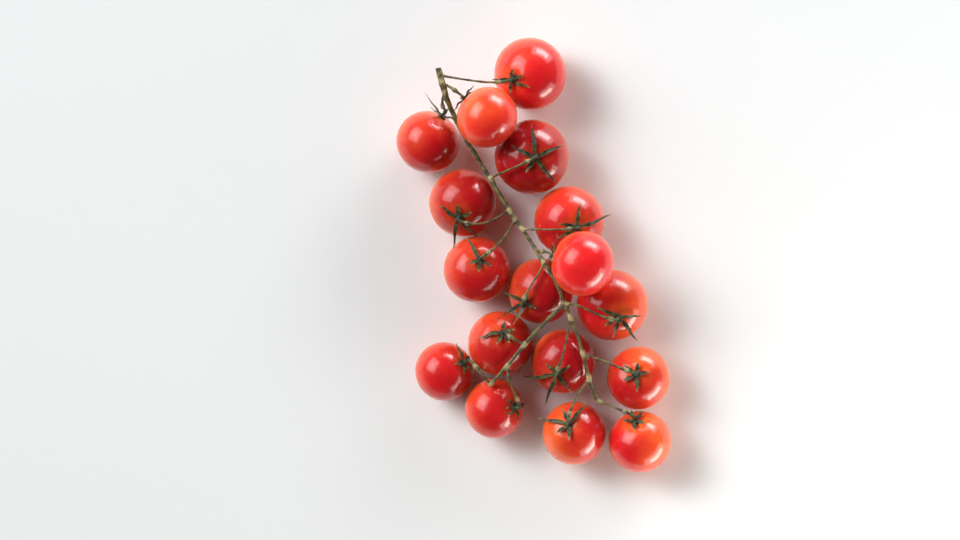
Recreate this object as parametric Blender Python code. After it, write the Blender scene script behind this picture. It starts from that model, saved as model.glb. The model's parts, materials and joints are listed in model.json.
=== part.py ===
"""A truss of seventeen cherry tomatoes, as picked, lying on a flat surface.

The stem grew as one piece: the peduncle with its cut end, the rachis that forks into two branches,
and the first stretch of every fruit's stalk, as far as the knuckle where it snaps.  Beyond its
knuckle the rest of each stalk grew in one piece with the calyx and its five sepals.  Each fruit sits
under its calyx.  Fifteen fruits lie on the surface and two lie on top of their neighbours.

Units are metres, +Z is up.  The truss lies along Y with its cut end towards +Y, and the origin is
on the surface, under the middle of the whole truss.
"""
import math
from typing import NamedTuple

import bmesh
import bpy
from mathutils import Matrix, Vector

MM = 0.001
X_AXIS = Vector((1.0, 0.0, 0.0))
Z_AXIS = Vector((0.0, 0.0, 1.0))

# Overall sizes
TRUSS_LENGTH = 0.183          # spreads the drawn plan of fruits and stem
FRUIT_DIAMETER = 0.0277       # mean width of the seventeen fruits

# The plan further down is drawn, in mm, for these two sizes
DRAWN_LENGTH = 0.183
DRAWN_FRUIT = 0.0277

# Fruit
FRUIT_ASPECT = 0.96           # height along the stalk over the width
DIMPLE_DEPTH = 0.0010         # hollow round the stalk
DIMPLE_RADIUS = 0.0045
FRUIT_GAP = 0.0003            # between neighbouring fruits
FRUIT_SEGMENTS = 14
FRUIT_RINGS = 8
SETTLE_ROUNDS = 200

# Stem and stalks
PEDUNCLE_DIAMETER = 0.0030    # at the cut end
RACHIS_DIAMETER = 0.0023      # along the middle
TWIG_DIAMETER = 0.0014        # at the far end of a branch
STALK_DIAMETER = 0.0011       # of a fruit's stalk
KNUCKLE_DIAMETER = 0.0019     # swelling where a stalk snaps
KNUCKLE_LENGTH = 0.0013       # how far the swelling fades along the stalk
KNUCKLE_DISTANCE = 0.0075     # from the calyx to the knuckle
KNUCKLE_SHARE = 0.5           # a short stalk has its knuckle no further than this share of it
KNUCKLE_GAP = 0.0006          # between the stem's end and the calyx's end at the knuckle
STEM_CLEARANCE = 0.0006       # between the stem and any fruit
STALK_CLEARANCE = 0.0012      # between a stalk and any fruit, room for a flat sepal
STALK_SPACING = 0.0013        # between a stalk's rings
APPROACH = 0.0035             # a stalk's last stretch is straight, along the fruit's axis
STEM_SIDES = 8
STALK_SIDES = 6
STEM_STEPS = 2                # rings for each drawn span of the stem
CLEAR_ROUNDS = 40
SMOOTHING = 0.25              # share of the way to its neighbours' middle that a point moves

# Calyx
CALYX_DIAMETER = 0.0038
CALYX_THICKNESS = 0.0008
CALYX_GAP = 0.0004            # between the calyx and its fruit
CALYX_NECK_DIAMETER = 0.0018  # where the stalk swells into the calyx
SEPAL_SEGMENTS = 4
SEPAL_ROOT = 30               # degrees of the calyx's rim that a sepal grows from
SEPAL_BASE_WIDTH = 0.0012
SEPAL_WIDTH = 0.0018          # at its broadest
SEPAL_BROADEST = 0.25         # share of the length where it is broadest
SEPAL_TIP_WIDTH = 0.0004
SEPAL_THICKNESS = 0.0005
SEPAL_TIP_THICKNESS = 0.00025
SEPAL_CLEARANCE = 0.0006      # between a sepal and whatever it would meet
SEPAL_SHORTEST = 0.0022

# Colours, as linear red, green and blue
RIPE_RED = (0.60, 0.016, 0.018)
BLUSH_ORANGE = (0.78, 0.085, 0.020)
STEM_GREEN = (0.205, 0.180, 0.072)
SEPAL_GREEN = (0.085, 0.092, 0.028)


class Fruit(NamedTuple):
    """One fruit on the drawn plan, with its calyx and its stalk."""
    place: tuple        # x and y of its centre, mm
    size: float         # its width over the mean width
    facing: tuple       # the way its stalk end points: degrees round from +X, degrees up
    blush: float        # 0 ripe red to 1 orange
    leaves: tuple       # the stem that its stalk leaves, and which of its drawn points
    route: tuple        # points that the stalk passes, x, y and z in mm
    sepals: tuple       # each one's degrees round the stalk, length in mm and tip's lift in mm
    on_top: bool = False


# The drawn stem, x, y and z in mm: the spine is the peduncle, the rachis and the right branch
STEM_PLAN = {
    "spine": (
        (-39.9, 78.0, 27.0), (-38.7, 74.8, 27.0), (-38.3, 71.8, 26.8), (-37.7, 68.3, 26.5),
        (-37.0, 65.5, 26.0), (-35.4, 62.1, 24.5), (-33.2, 57.8, 22.2), (-30.4, 52.3, 20.6),
        (-28.1, 46.5, 20.8), (-24.4, 41.5, 21.2), (-21.2, 37.1, 21.0), (-17.5, 32.3, 20.5),
        (-15.4, 27.7, 21.0), (-12.9, 23.1, 21.5), (-10.6, 17.9, 22.0), (-8.1, 14.9, 22.5),
        (-4.8, 11.6, 22.5), (-1.9, 7.9, 22.5), (1.0, 2.6, 23.0), (3.7, -2.4, 25.0),
        (7.2, -8.6, 28.0), (10.3, -14.4, 27.5), (13.3, -19.6, 25.5), (14.7, -26.3, 24.5),
        (17.6, -31.7, 25.0), (20.2, -37.0, 26.0), (21.3, -41.0, 27.0), (21.1, -45.8, 26.5),
        (22.0, -52.3, 24.5), (24.0, -56.8, 22.0), (26.6, -60.6, 19.5)),
    "left_branch": (
        (13.3, -19.6, 25.5), (8.7, -23.6, 25.0), (4.1, -27.3, 24.5), (-0.5, -32.7, 25.0),
        (-4.7, -37.0, 27.5), (-7.6, -41.3, 28.5), (-10.9, -46.2, 26.5), (-14.6, -50.7, 23.5),
        (-18.3, -54.1, 22.0)),
}

FRUITS = (
    Fruit((-1.5, 76.2), 1.105, (203, 56), 0.15, ("spine", 1),
          ((-31.6, 73.3, 29.0), (-21.7, 71.7, 30.0), (-17.1, 70.4, 29.0)),
          ((26, 4.0, 2.0), (80, 2.5, 2.0), (186, 8.0, 2.0), (268, 3.0, 2.0), (342, 6.5, 1.5))),
    Fruit((-19.6, 57.2), 0.925, (139, -12), 0.75, ("spine", 2),
          ((-35.0, 71.0, 27.0),),
          ((30, 5.0, 1.5), (102, 5.0, 1.5), (174, 5.0, 1.5), (246, 5.0, 1.5), (318, 5.0, 1.5)),
          True),
    Fruit((-44.3, 47.9), 0.97, (60, 17), 0.25, ("spine", 3),
          ((-38.6, 64.0, 24.5), (-38.7, 60.5, 21.5)),
          ((10, 4.5, 2.5), (80, 5.0, 4.0), (152, 6.5, 7.5), (215, 5.0, 4.0), (290, 5.0, 5.0))),
    Fruit((-0.8, 41.4), 1.13, (320, 85), 0.10, ("spine", 11),
          ((-13.4, 34.4, 26.0), (-8.8, 36.1, 30.0)),
          ((24, 12.0, 1.5), (94, 12.8, 1.5), (152, 9.0, 1.5), (240, 5.2, 1.5), (310, 13.0, 1.5))),
    Fruit((-29.6, 21.8), 1.03, (255, 62), 0.15, ("spine", 14),
          ((-14.6, 15.5, 24.0), (-19.2, 13.8, 26.0), (-24.6, 12.2, 27.5)),
          ((28, 4.0, 1.5), (94, 4.2, 1.0), (148, 6.8, 2.5), (262, 8.0, 7.3), (306, 11.2, 2.5))),
    Fruit((14.9, 14.5), 1.06, (315, 74), 0.35, ("spine", 16),
          ((2.8, 10.7, 26.5), (9.8, 10.7, 30.0)),
          ((14, 13.5, 4.0), (80, 8.2, 1.5), (168, 5.8, 1.5), (208, 7.2, 2.0), (316, 5.8, 1.5))),
    Fruit((-23.5, -5.7), 1.01, (72, 72), 0.25, ("spine", 15),
          ((-10.0, 11.0, 23.5), (-13.4, 6.0, 25.5), (-16.7, 2.4, 28.0)),
          ((42, 3.0, 2.5), (120, 8.2, 3.0), (206, 3.0, 2.5), (264, 3.0, 2.5), (328, 3.0, 2.5))),
    Fruit((19.7, -3.4), 0.97, (162, -12), 0.60, ("spine", 18), (),
          ((60, 4.0, 1.5), (130, 4.0, 1.5), (205, 4.0, 1.5), (275, 4.0, 1.5), (345, 6.0, 4.3)),
          True),
    Fruit((2.3, -15.1), 1.00, (214, 51), 0.20, ("spine", 19),
          ((1.6, -8.2, 28.0), (-1.8, -13.1, 30.0)),
          ((62, 3.5, 1.5), (172, 12.0, 4.0), (218, 4.5, 11.3), (254, 5.0, 8.8), (350, 4.0, 1.5))),
    Fruit((33.0, -20.8), 1.08, (291, 67), 0.25, ("spine", 22),
          ((18.2, -19.8, 27.0), (23.1, -23.1, 29.5), (28.0, -25.6, 30.0)),
          ((2, 7.0, 2.5), (152, 8.0, 1.5), (206, 4.5, 1.5), (254, 6.2, 2.5), (308, 9.2, 5.0))),
    Fruit((-13.9, -37.4), 0.98, (77, 69), 0.15, ("left_branch", 4),
          ((-7.2, -35.7, 29.0), (-9.7, -34.7, 29.5)),
          ((18, 3.0, 1.5), (82, 3.0, 1.5), (190, 8.0, 1.5), (242, 3.5, 1.5), (302, 3.0, 1.5))),
    Fruit((11.3, -44.3), 0.98, (237, 65), 0.10, ("spine", 23),
          ((13.8, -33.5, 27.5), (12.3, -40.0, 30.0)),
          ((38, 5.0, 1.5), (136, 4.0, 1.5), (200, 15.0, 4.0), (252, 12.0, 6.0), (306, 8.0, 2.0))),
    Fruit((-36.3, -48.1), 0.90, (25, 39), 0.20, ("left_branch", 8),
          ((-20.6, -51.3, 23.5), (-22.5, -47.7, 24.5)),
          ((62, 6.0, 5.5), (124, 6.0, 2.5), (206, 4.0, 1.5), (262, 3.0, 1.5), (318, 3.0, 2.0))),
    Fruit((-16.4, -64.3), 0.91, (6, 44), 0.30, ("left_branch", 6),
          ((-10.7, -52.6, 26.0), (-8.4, -57.2, 26.5)),
          ((18, 4.0, 1.5), (90, 4.0, 1.5), (150, 3.5, 1.5), (215, 3.5, 1.5), (285, 3.5, 1.5))),
    Fruit((17.0, -74.6), 0.96, (122, 66), 0.70, ("spine", 28),
          ((19.1, -56.4, 25.5), (16.5, -60.5, 27.5)),
          ((52, 9.5, 3.0), (110, 4.8, 2.0), (162, 10.2, 4.0), (216, 4.0, 1.5), (272, 4.8, 1.5))),
    Fruit((44.1, -51.5), 0.955, (131, 78), 0.60, ("spine", 26),
          ((26.4, -42.4, 28.0), (31.8, -45.0, 29.5), (36.3, -47.1, 29.5)),
          ((12, 3.5, 1.5), (78, 3.0, 1.5), (142, 4.5, 1.5), (208, 4.0, 1.5), (272, 5.2, 1.5))),
    Fruit((44.7, -78.1), 0.955, (105, 41), 0.65, ("spine", 30),
          ((32.2, -62.8, 21.5), (37.5, -64.9, 22.5)),
          ((48, 3.5, 1.5), (102, 4.2, 1.5), (178, 3.0, 1.5), (264, 3.8, 1.5), (324, 3.0, 1.5))),
)


# ---------------------------------------------------------------- points and paths

def drawn(x, y, z=0.0):
    """A point of the drawn plan at the truss's real size, in metres."""
    spread = MM * TRUSS_LENGTH / DRAWN_LENGTH
    height = MM * FRUIT_DIAMETER / DRAWN_FRUIT
    return Vector((x * spread, y * spread, z * height))


def direction(bearing, rise):
    """Unit vector that points `bearing` degrees round from +X and `rise` degrees up."""
    around = math.radians(bearing)
    up = math.radians(rise)
    return Vector((math.cos(up) * math.cos(around), math.cos(up) * math.sin(around), math.sin(up)))


def frame_along(axis):
    """Rotation whose Z is the axis and whose X stays as near to the world's X as it can."""
    side = (X_AXIS - axis * axis.x).normalized()
    return Matrix((side, axis.cross(side), axis)).transposed()


def through(points, steps):
    """Smooth (Catmull-Rom) path through the points, with `steps` samples for each span."""
    first = points[0] * 2 - points[1]
    last = points[-1] * 2 - points[-2]
    ends = [first] + list(points) + [last]
    path = []
    for before, start, end, after in zip(ends, ends[1:], ends[2:], ends[3:]):
        for step in range(steps):
            t = step / steps
            path.append(0.5 * (2 * start + (end - before) * t
                               + (2 * before - 5 * start + 4 * end - after) * t ** 2
                               + (3 * start - before - 3 * end + after) * t ** 3))
    path.append(points[-1].copy())
    return path


def distances(path):
    """How far along the path each of its points is."""
    total = [0.0]
    for start, end in zip(path, path[1:]):
        total.append(total[-1] + (end - start).length)
    return total


def stretch_of(path, start, end, spacing):
    """Even points on the part of the path between two distances along it."""
    along = distances(path)
    count = max(2, round((end - start) / spacing))
    points = []
    span = 0
    for step in range(count + 1):
        wanted = start + (end - start) * step / count
        while span < len(path) - 2 and along[span + 1] < wanted:
            span += 1
        share = (wanted - along[span]) / (along[span + 1] - along[span])
        points.append(path[span].lerp(path[span + 1], share))
    return points


def clear(path, radius, obstacles, held_start, held_end):
    """Push a path's points out of the obstacles' spheres, smoothing it between rounds.

    The first `held_start` and the last `held_end` points stay where they are.
    """
    last = len(path) - 1
    for _ in range(CLEAR_ROUNDS):
        for index in range(held_start, len(path) - held_end):
            if 0 < index < last:
                middle = (path[index - 1] + path[index + 1]) / 2
                path[index] = path[index].lerp(middle, SMOOTHING)
            for centre, size in obstacles:
                away = path[index] - centre
                need = size + radius
                if away.length < need:
                    path[index] = centre + away.normalized() * need
    return path


# ---------------------------------------------------------------- where the fruits settle

def settle():
    """Centres of the fruits: pushed apart on the surface, the two upper ones lifted to rest."""
    widths = [FRUIT_DIAMETER * fruit.size / 2 for fruit in FRUITS]
    centres = [drawn(*fruit.place) for fruit in FRUITS]
    for centre, width in zip(centres, widths):
        centre.z = width
    low = [index for index, fruit in enumerate(FRUITS) if not fruit.on_top]
    for _ in range(SETTLE_ROUNDS):
        for first in low:
            for second in low:
                if first >= second:
                    continue
                apart = centres[second] - centres[first]
                need = widths[first] + widths[second] + FRUIT_GAP
                if apart.length >= need:
                    continue
                push = apart.to_2d().normalized().to_3d() * (need - apart.length) / 2
                centres[first] -= push
                centres[second] += push
    for upper, fruit in enumerate(FRUITS):
        if not fruit.on_top:
            continue
        for lower in low:
            apart = (centres[upper] - centres[lower]).to_2d().length
            need = widths[upper] + widths[lower] + FRUIT_GAP
            if apart < need:
                resting = centres[lower].z + math.sqrt(need ** 2 - apart ** 2)
                centres[upper].z = max(centres[upper].z, resting)
    return centres, widths


# ---------------------------------------------------------------- mesh helpers

def rings_along(bm, path, radii, sides, side):
    """Rings of vertices round each point of a path, without twist; `side` starts the first."""
    rings = []
    for index, centre in enumerate(path):
        before = path[max(index - 1, 0)]
        after = path[min(index + 1, len(path) - 1)]
        tangent = (after - before).normalized()
        side = (side - tangent * side.dot(tangent)).normalized()
        other = tangent.cross(side)
        ring = []
        for corner in range(sides):
            angle = 2 * math.pi * corner / sides
            spoke = side * math.cos(angle) + other * math.sin(angle)
            ring.append(bm.verts.new(centre + spoke * radii[index]))
        rings.append(ring)
    return rings


def loft(bm, rings):
    """Faces between each ring and the next."""
    for ring, following in zip(rings, rings[1:]):
        for corner in range(len(ring)):
            beside = (corner + 1) % len(ring)
            bm.faces.new((ring[corner], ring[beside], following[beside], following[corner]))


def finish_mesh(name, bm):
    """Close a bmesh into a mesh with its faces pointing out."""
    bmesh.ops.recalc_face_normals(bm, faces=bm.faces)
    mesh = bpy.data.meshes.new(name)
    bm.to_mesh(mesh)
    bm.free()
    return mesh


def place(name, mesh, parent, matrix=Matrix.Identity(4), collection=None):
    """Link a named object with this mesh, under the truss's empty."""
    obj = bpy.data.objects.new(name, mesh)
    (collection or bpy.context.scene.collection).objects.link(obj)
    obj.parent = parent
    obj.matrix_local = matrix
    return obj


def paint(obj, colour, roughness):
    """Give the object a material of its own."""
    material = bpy.data.materials.new(obj.name + "_finish")
    material.use_nodes = True
    shader = material.node_tree.nodes["Principled BSDF"]
    shader.inputs["Base Color"].default_value = (*colour, 1.0)
    shader.inputs["Roughness"].default_value = roughness
    shader.inputs["Metallic"].default_value = 0.0
    obj.data.materials.append(material)


def tube_mesh(name, path, radii, sides):
    """A closed round tube along a path, with flat ends."""
    bm = bmesh.new()
    rings = rings_along(bm, path, radii, sides, X_AXIS)
    loft(bm, rings)
    bm.faces.new(rings[0])
    bm.faces.new(rings[-1])
    mesh = finish_mesh(name, bm)
    mesh.shade_smooth()
    return mesh


# ---------------------------------------------------------------- fruits

def pole_height(width):
    """From a fruit's centre to the bottom of the dimple at its stalk end."""
    return width * FRUIT_ASPECT - DIMPLE_DEPTH


def make_fruit(name, fruit, centre, width, parent):
    """A slightly flattened ball with a dimple at its stalk end, lowered onto the surface."""
    bm = bmesh.new()
    bmesh.ops.create_uvsphere(bm, u_segments=FRUIT_SEGMENTS, v_segments=FRUIT_RINGS, radius=width)
    for vertex in bm.verts:
        vertex.co.z *= FRUIT_ASPECT
        if vertex.co.z > 0:
            off_axis = vertex.co.to_2d().length
            vertex.co.z -= DIMPLE_DEPTH * math.exp(-(off_axis / DIMPLE_RADIUS) ** 2)
    mesh = finish_mesh(name, bm)
    mesh.shade_smooth()
    turn = frame_along(direction(*fruit.facing))
    if not fruit.on_top:
        centre.z = -min((turn @ vertex.co).z for vertex in mesh.vertices)
    obj = place(name, mesh, parent, Matrix.Translation(centre) @ turn.to_4x4())
    colour = [red + (orange - red) * fruit.blush for red, orange in zip(RIPE_RED, BLUSH_ORANGE)]
    paint(obj, colour, 0.22)
    return obj


# ---------------------------------------------------------------- stem and stalks

def beads(path, radii):
    """Spheres along a tube, for keeping other things clear of it."""
    return list(zip(path, radii))


def stem_radii(path, first, middle, last):
    """Radius at each point of a stem that narrows from its first to its last."""
    along = distances(path)
    radii = []
    for distance in along:
        share = distance / along[-1]
        if share < 0.25:
            diameter = first + (middle - first) * share / 0.25
        else:
            diameter = middle + (last - middle) * (share - 0.25) / 0.75
        radii.append(diameter / 2)
    return radii


def stem_paths(fruit_spheres):
    """The spine and the left branch, lifted clear of the fruits; the branch starts on the spine."""
    paths = {}
    obstacles = [(centre, width + STEM_CLEARANCE) for centre, width in fruit_spheres]
    for name, plan in STEM_PLAN.items():
        path = through([drawn(*point) for point in plan], STEM_STEPS)
        held = 0
        if name == "left_branch":
            fork = STEM_PLAN["spine"].index(plan[0])
            path[0] = paths["spine"][fork * STEM_STEPS]
            held = 1
        paths[name] = clear(path, RACHIS_DIAMETER / 2, obstacles, held, 0)
    return paths


def stalk_path(fruit, calyx_top, axis, start, obstacles):
    """From the stem's middle to the top of the calyx, arriving along the fruit's axis."""
    arrival = calyx_top + axis * APPROACH
    hand_points = [start]
    hand_points += [drawn(*point) for point in fruit.route]
    hand_points += [arrival, calyx_top]
    path = through(hand_points, 6)
    even = stretch_of(path, 0.0, distances(path)[-1], STALK_SPACING)
    straight = max(2, round(APPROACH / STALK_SPACING))
    return clear(even, STALK_DIAMETER / 2, obstacles, 1, straight)


def swell(distance, size, length):
    """A swelling that fades with distance."""
    return size * math.exp(-(distance / length) ** 2)


def stalk_radii(path, knuckle_at_start, neck):
    """Radius at each point of a stalk that swells at its knuckle, and at its neck if it has one."""
    along = distances(path)
    radii = []
    for distance in along:
        from_knuckle = distance if knuckle_at_start else along[-1] - distance
        radius = STALK_DIAMETER / 2
        radius += swell(from_knuckle, (KNUCKLE_DIAMETER - STALK_DIAMETER) / 2, KNUCKLE_LENGTH)
        if neck:
            radius += swell(along[-1] - distance, (CALYX_NECK_DIAMETER - STALK_DIAMETER) / 2,
                            KNUCKLE_LENGTH)
        radii.append(radius)
    return radii


def split_at_knuckle(path):
    """The stretch that stays on the stem and the stretch that comes off with the calyx."""
    length = distances(path)[-1]
    knuckle = length - min(KNUCKLE_DISTANCE, length * KNUCKLE_SHARE)
    on_stem = stretch_of(path, 0.0, knuckle - KNUCKLE_GAP / 2, STALK_SPACING)
    on_calyx = stretch_of(path, knuckle + KNUCKLE_GAP / 2, length, STALK_SPACING)
    return on_stem, on_calyx


def make_stem(paths, stubs, parent):
    """The whole stem as one body: the spine, with the branch and the stalks' stubs united to it."""
    tubes = bpy.data.collections.new("stem_tubes")
    bpy.context.scene.collection.children.link(tubes)
    radii = stem_radii(paths["left_branch"], RACHIS_DIAMETER, RACHIS_DIAMETER, TWIG_DIAMETER)
    meshes = [tube_mesh("left_branch", paths["left_branch"], radii, STEM_SIDES)]
    for number, stub in enumerate(stubs, start=1):
        meshes.append(tube_mesh(f"stub_{number:02d}", stub, stalk_radii(stub, False, False),
                                STALK_SIDES))
    for mesh in meshes:
        guide = place("guide_" + mesh.name, mesh, parent, collection=tubes)
        guide.hide_render = True
        guide.display_type = "WIRE"
    radii = stem_radii(paths["spine"], PEDUNCLE_DIAMETER, RACHIS_DIAMETER, TWIG_DIAMETER)
    stem = place("stem", tube_mesh("stem", paths["spine"], radii, STEM_SIDES), parent)
    union = stem.modifiers.new("grown_together", "BOOLEAN")
    union.operation = "UNION"
    union.operand_type = "COLLECTION"
    union.collection = tubes
    union.solver = "EXACT"
    paint(stem, STEM_GREEN, 0.60)
    return stem


# ---------------------------------------------------------------- calyxes

def skin_radius(angle, width):
    """From a fruit's centre to its skin, at an angle from the axis."""
    return 1 / math.hypot(math.sin(angle) / width, math.cos(angle) / (width * FRUIT_ASPECT))


def spoke_at(angle):
    """Unit vector across the stalk, at an angle round it."""
    return Vector((math.cos(angle), math.sin(angle), 0.0))


class Sepal(NamedTuple):
    """One sepal at its real size, in its calyx's own frame."""
    root: float         # angle round the stalk where it leaves the rim
    tip: float          # angle round the stalk that it swings to
    length: float       # along the fruit, from the rim
    lift: float         # how far the tip of the whole sepal stands off the fruit
    width: float        # half the fruit's width, for the skin that it lies along


def sepals_of(fruit, width):
    """The fruit's sepals: their roots share the rim out more evenly than their tips."""
    bearings = [bearing for bearing, length, lift in fruit.sepals]
    even = 360 / len(bearings)
    first = sum(bearing - even * index for index, bearing in enumerate(bearings)) / len(bearings)
    sepals = []
    for index, (bearing, length, lift) in enumerate(fruit.sepals):
        root = (first + even * index + bearing) / 2
        sepals.append(Sepal(math.radians(root), math.radians(bearing), length * MM, lift * MM, width))
    return sepals


def sepal_point(sepal, distance):
    """Underside of a sepal's middle line, `distance` from the rim, the way out and across there.

    Points are in the calyx's own frame, whose origin is on the axis under the calyx.
    """
    share = distance / sepal.length
    spoke = spoke_at(sepal.root + (sepal.tip - sepal.root) * (1 - (1 - share) ** 2))
    angle = (CALYX_DIAMETER / 2 + distance) / sepal.width
    outward = spoke * math.sin(angle) + Z_AXIS * math.cos(angle)
    stand_off = CALYX_GAP + sepal.lift * share ** 2
    from_centre = outward * (skin_radius(angle, sepal.width) + stand_off)
    under = from_centre - Z_AXIS * (pole_height(sepal.width) + CALYX_GAP)
    return under, outward, Z_AXIS.cross(spoke)


def sepal_width(share):
    """A sepal is broadest near its base and runs out to a narrow tip."""
    if share < SEPAL_BROADEST:
        return SEPAL_BASE_WIDTH + (SEPAL_WIDTH - SEPAL_BASE_WIDTH) * share / SEPAL_BROADEST
    beyond = (share - SEPAL_BROADEST) / (1 - SEPAL_BROADEST)
    return SEPAL_WIDTH + (SEPAL_TIP_WIDTH - SEPAL_WIDTH) * beyond


def free_length(sepal, matrix, obstacles):
    """How long the sepal can be before it meets something."""
    samples = 40
    margin = SEPAL_WIDTH / 2 + SEPAL_CLEARANCE
    length = SEPAL_SHORTEST
    for step in range(1, samples + 1):
        distance = sepal.length * step / samples
        point = matrix @ sepal_point(sepal, distance)[0]
        if any((point - centre).length < size + margin for centre, size in obstacles):
            break
        length = max(length, distance)
    return min(length, sepal.length)


def make_sepal(bm, corners, sepal, length):
    """Grow a sepal out of one side of the calyx, whose four corners are given."""
    sections = [corners]
    for step in range(1, SEPAL_SEGMENTS + 1):
        share = step / SEPAL_SEGMENTS
        under, outward, across = sepal_point(sepal, length * share)
        half = across * sepal_width(share) / 2
        thick = SEPAL_THICKNESS + (SEPAL_TIP_THICKNESS - SEPAL_THICKNESS) * share
        over = under + outward * thick
        section = [under - half, under + half, over + half, over - half]
        sections.append([bm.verts.new(point) for point in section])
    loft(bm, sections)
    bm.faces.new(sections[-1])


def make_calyx(name, fruit, width, matrix, stalk, obstacles, parent):
    """The calyx with its sepals and its end of the stalk, and spheres that stand for its sepals."""
    bm = bmesh.new()
    sepals = sepals_of(fruit, width)
    half_root = math.radians(SEPAL_ROOT / 2)
    corners = [sepal.root + side * half_root for sepal in sepals for side in (-1, 1)]
    rim = [spoke_at(corner) * CALYX_DIAMETER / 2 for corner in corners]
    bottom = [bm.verts.new(point) for point in rim]
    top = [bm.verts.new(point + Z_AXIS * CALYX_THICKNESS) for point in rim]
    inward = matrix.inverted()
    ends = [inward @ point for point in reversed(stalk)]
    radii = list(reversed(stalk_radii(stalk, True, True)))
    rings = rings_along(bm, ends[1:], radii[1:], len(rim), rim[0])
    loft(bm, [top] + rings)
    bm.faces.new(bottom)
    bm.faces.new(rings[-1])
    taken = []
    for side in range(len(rim)):
        beside = (side + 1) % len(rim)
        rim_side = [bottom[side], bottom[beside], top[beside], top[side]]
        if side % 2:
            bm.faces.new(rim_side)
            continue
        sepal = sepals[side // 2]
        length = free_length(sepal, matrix, obstacles)
        make_sepal(bm, rim_side, sepal, length)
        for step in range(1, 9):
            point = sepal_point(sepal, length * step / 8)[0]
            taken.append((matrix @ point, SEPAL_WIDTH / 2))
    mesh = finish_mesh(name, bm)
    mesh.shade_smooth()
    obj = place(name, mesh, parent, matrix)
    paint(obj, SEPAL_GREEN, 0.65)
    return taken


# ---------------------------------------------------------------- the whole truss

def centre_on_origin(parent):
    """Slide the truss so that the middle of its box is over the origin, resting on the surface."""
    bpy.context.view_layer.update()
    depsgraph = bpy.context.evaluated_depsgraph_get()
    points = []
    for obj in parent.children:
        if not obj.hide_render:
            whole = obj.evaluated_get(depsgraph)
            points += [obj.matrix_world @ vertex.co for vertex in whole.data.vertices]
    low = [min(point[axis] for point in points) for axis in range(3)]
    high = [max(point[axis] for point in points) for axis in range(3)]
    parent.location = (-(low[0] + high[0]) / 2, -(low[1] + high[1]) / 2, -low[2])


def main():
    for obj in list(bpy.data.objects):
        bpy.data.objects.remove(obj, do_unlink=True)
    truss = bpy.data.objects.new("truss", None)
    bpy.context.scene.collection.objects.link(truss)

    centres, widths = settle()
    for number, (fruit, centre, width) in enumerate(zip(FRUITS, centres, widths), start=1):
        make_fruit(f"tomato_{number:02d}", fruit, centre, width, truss)
    spheres = list(zip(centres, widths))
    paths = stem_paths(spheres)

    axes = [direction(*fruit.facing) for fruit in FRUITS]
    seats = []
    for axis, centre, width in zip(axes, centres, widths):
        seats.append(centre + axis * (pole_height(width) + CALYX_GAP))
    tops = [seat + axis * CALYX_THICKNESS for seat, axis in zip(seats, axes)]
    calyx_spheres = [(top, CALYX_DIAMETER / 2 + STALK_CLEARANCE) for top in tops]

    taken = []
    for path in paths.values():
        taken += beads(path, [RACHIS_DIAMETER / 2] * len(path))
    stubs = []
    ends = []
    for index, fruit in enumerate(FRUITS):
        stem_name, point = fruit.leaves
        start = paths[stem_name][point * STEM_STEPS]
        near = KNUCKLE_DISTANCE / 2
        obstacles = [(centre, width + STALK_CLEARANCE) for centre, width in spheres]
        obstacles += [sphere for other, sphere in enumerate(calyx_spheres) if other != index]
        for centre, size in taken:
            if (centre - start).length > near + size:
                obstacles.append((centre, size + KNUCKLE_GAP))
        path = stalk_path(fruit, tops[index], axes[index], start, obstacles)
        on_stem, on_calyx = split_at_knuckle(path)
        stubs.append(on_stem)
        ends.append(on_calyx)
        taken += beads(path, [KNUCKLE_DIAMETER / 2] * len(path))
    make_stem(paths, stubs, truss)

    for index, (fruit, width) in enumerate(zip(FRUITS, widths)):
        matrix = Matrix.Translation(seats[index]) @ frame_along(axes[index]).to_4x4()
        obstacles = [sphere for other, sphere in enumerate(spheres) if other != index]
        obstacles += [(centre, size) for centre, size in taken
                      if (centre - tops[index]).length > APPROACH + SEPAL_WIDTH]
        taken += make_calyx(f"calyx_{index + 1:02d}", fruit, width, matrix, ends[index],
                            obstacles, truss)
    centre_on_origin(truss)


main()
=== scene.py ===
# %% [markdown]
# # A truss of cherry tomatoes
# Seventeen small tomatoes grow on one forked stem. The truss was cut from its plant with its stalks
# and calyxes on, and it lies on a table. A plain CAD model of it comes in as a fixed frame: its
# solids give every place and size below, and this lesson gives each one the shape and finish that
# the real thing has. Two other ways would be to sculpt over the CAD by hand or to scan a truss, but
# shapes made in code follow the CAD if it changes.

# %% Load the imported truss
import json
import math
from typing import NamedTuple

import bmesh
import bpy
import numpy as np
from mathutils import Matrix, Vector, noise
from mathutils.bvhtree import BVHTree

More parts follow.
